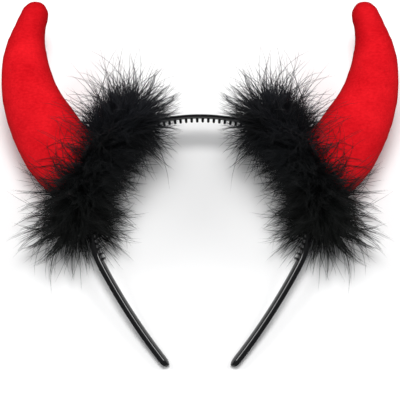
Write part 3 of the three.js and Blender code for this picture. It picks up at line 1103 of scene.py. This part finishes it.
def in_range(net, value, old=(0, 1), new=(0, 1)):
    """A value taken from one range to another."""
    names = ("From Min", "From Max", "To Min", "To Max")
    ends = dict(zip(names, (*old, *new)))
    return new_node(net, "ShaderNodeMapRange", {"Value": value, **ends}).outputs["Result"]


def colour_between(net, share, low, high):
    """A mix of two colours. The mix node numbers its colour sockets 6 and 7."""
    return new_node(net, "ShaderNodeMix", {0: share, 6: low, 7: high}, data_type="RGBA").outputs[2]


def bump(net, height, strength, distance):
    """A normal that is tilted as if the surface rose and fell."""
    sockets = {"Height": height, "Strength": strength, "Distance": distance}
    return new_node(net, "ShaderNodeBump", sockets).outputs["Normal"]


print("steps: patchy value, own value, scaled sum, range, colour mix and bump")

# %% [markdown]
# Velvet is short upright pile. Where it has been brushed, the pile leans and the red turns deeper or
# brighter in faint streaks across the horn. Near the seam plane, round the horn's outline, a deeper red
# is painted shade for the rims that turn away from the light. The pile itself is too fine to model, so
# it is a fine bump. A little sheen gives the soft bloom of cloth, in a red tint so that the edges stay
# red.

# %% Velvet
VELVET_DEEP = (0.48, 0.003, 0.007, 1)
VELVET_BRIGHT = (0.76, 0.010, 0.017, 1)
# The third red is painted shade, laid on near the seam plane, round the horn's outline.
VELVET_RIM_SHADE = (0.33, 0.001, 0.003, 1)
VELVET_ROUGHNESS = (0.78, 0.95)
PILE_DEPTH = 0.25 * MM
SHEEN_TINT = (1.0, 0.08, 0.07, 1)

velvet, net = new_finish("red_velvet")
streaks = patchy(net, scale=900, detail=8, stretch=(0.5, 1, 1))
clouds = patchy(net, scale=75, detail=3, values=(0, 0.5))
nap = colour_between(net, scaled_sum(net, streaks, 0.5, clouds), VELVET_DEEP, VELVET_BRIGHT)
pile = patchy(net, scale=1700, detail=2)
look = {
    # Near the seam plane the red turns deeper: painted shade at the horn's rims.
    "Base Color": colour_between(net, own_value(net, "painted_rim_shade"), nap, VELVET_RIM_SHADE),
    "Roughness": patchy(net, scale=200, detail=2, values=VELVET_ROUGHNESS),
    "Normal": bump(net, pile, strength=0.35, distance=PILE_DEPTH),
    "Specular IOR Level": 0.03,
    "Sheen Weight": 0.03,
    "Sheen Roughness": 0.45,
    "Sheen Tint": SHEEN_TINT,
}
feed(net, net.nodes["Principled BSDF"], look)
for piece in (horn, horn_left):
    piece.data.materials.append(velvet)
print("velvet", len(net.nodes), "nodes")

# %% [markdown]
# Dyed marabou is nearly black all the way through, with little shine. Its colour runs with height:
# a lighter, bluish black towards the upper end of the loop and a darker, greenish one towards the
# lower end. Each lock has its own tone, and barbs are a little glossier towards their thin tips.

# %% Marabou
FEATHER_DEEP = (0.0025, 0.0027, 0.0027, 1)
FEATHER_BLUE = (0.0150, 0.0165, 0.0230, 1)
FEATHER_GREEN = (0.0095, 0.0120, 0.0105, 1)
TINT_HEIGHTS = (-30 * MM, 45 * MM)  # along the headband, from all green to all blue
TONE_WEIGHT = 0.4
FEATHER_ROUGHNESS = (0.75, 0.5)  # at a barb's root and at its tip

marabou, net = new_finish("black_marabou")
drift = patchy(net, scale=45, detail=2, values=(0, 0.6))
toned = scaled_sum(net, own_value(net, "tone"), TONE_WEIGHT, drift)
place = new_node(net, "ShaderNodeSeparateXYZ", {"Vector": own_place(net)})
height = in_range(net, place.outputs["Y"], old=TINT_HEIGHTS)
tint = colour_between(net, height, FEATHER_GREEN, FEATHER_BLUE)
look = {
    "Base Color": colour_between(net, toned, FEATHER_DEEP, tint),
    "Roughness": in_range(net, own_value(net, "along"), new=FEATHER_ROUGHNESS),
    "Specular IOR Level": 0.2,
}
feed(net, net.nodes["Principled BSDF"], look)
for piece in (locks, down, strays, locks_left, down_left, strays_left):
    piece.data.materials.append(marabou)
print("marabou", len(net.nodes), "nodes")

# %% [markdown]
# The band is glossy black plastic. Its gloss comes from the shader and the pale studio round it. A
# moulded surface is never quite even, so its roughness drifts a little and a slow bump bends the
# reflections.

# %% Plastic
PLASTIC_BLACK = (0.004, 0.004, 0.0045, 1)
PLASTIC_ROUGHNESS = (0.05, 0.11)
FLOW_DEPTH = 0.2 * MM

plastic, net = new_finish("band_plastic")
flow = patchy(net, scale=120, detail=1)
look = {
    "Base Color": PLASTIC_BLACK,
    "Roughness": patchy(net, scale=140, detail=3, values=PLASTIC_ROUGHNESS),
    "Normal": bump(net, flow, strength=0.05, distance=FLOW_DEPTH),
}
feed(net, net.nodes["Principled BSDF"], look)
band.data.materials.clear()
band.data.materials.append(plastic)
print("plastic", len(net.nodes), "nodes")

# %% [markdown]
# Each piece says which part of the construction model it stands for, which material of the record
# it has, and that it moves with the headband's one body.

# %% Tie the pieces to the construction model
PIECES = [
    {"piece": band, "node": "band", "slot": "band_plastic"},
    {"piece": horn, "node": "horn_right", "slot": "red_velvet"},
    {"piece": horn_left, "node": "horn_left", "slot": "red_velvet"},
    {"piece": locks, "node": "marabou_right", "slot": "black_marabou"},
    {"piece": down, "node": "marabou_right", "slot": "black_marabou"},
    {"piece": strays, "node": "marabou_right", "slot": "black_marabou"},
    {"piece": locks_left, "node": "marabou_left", "slot": "black_marabou"},
    {"piece": down_left, "node": "marabou_left", "slot": "black_marabou"},
    {"piece": strays_left, "node": "marabou_left", "slot": "black_marabou"},
]
for entry in PIECES:
    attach(entry["piece"], "root")
    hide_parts(entry["node"])
print("pieces", [entry["piece"].name for entry in PIECES])
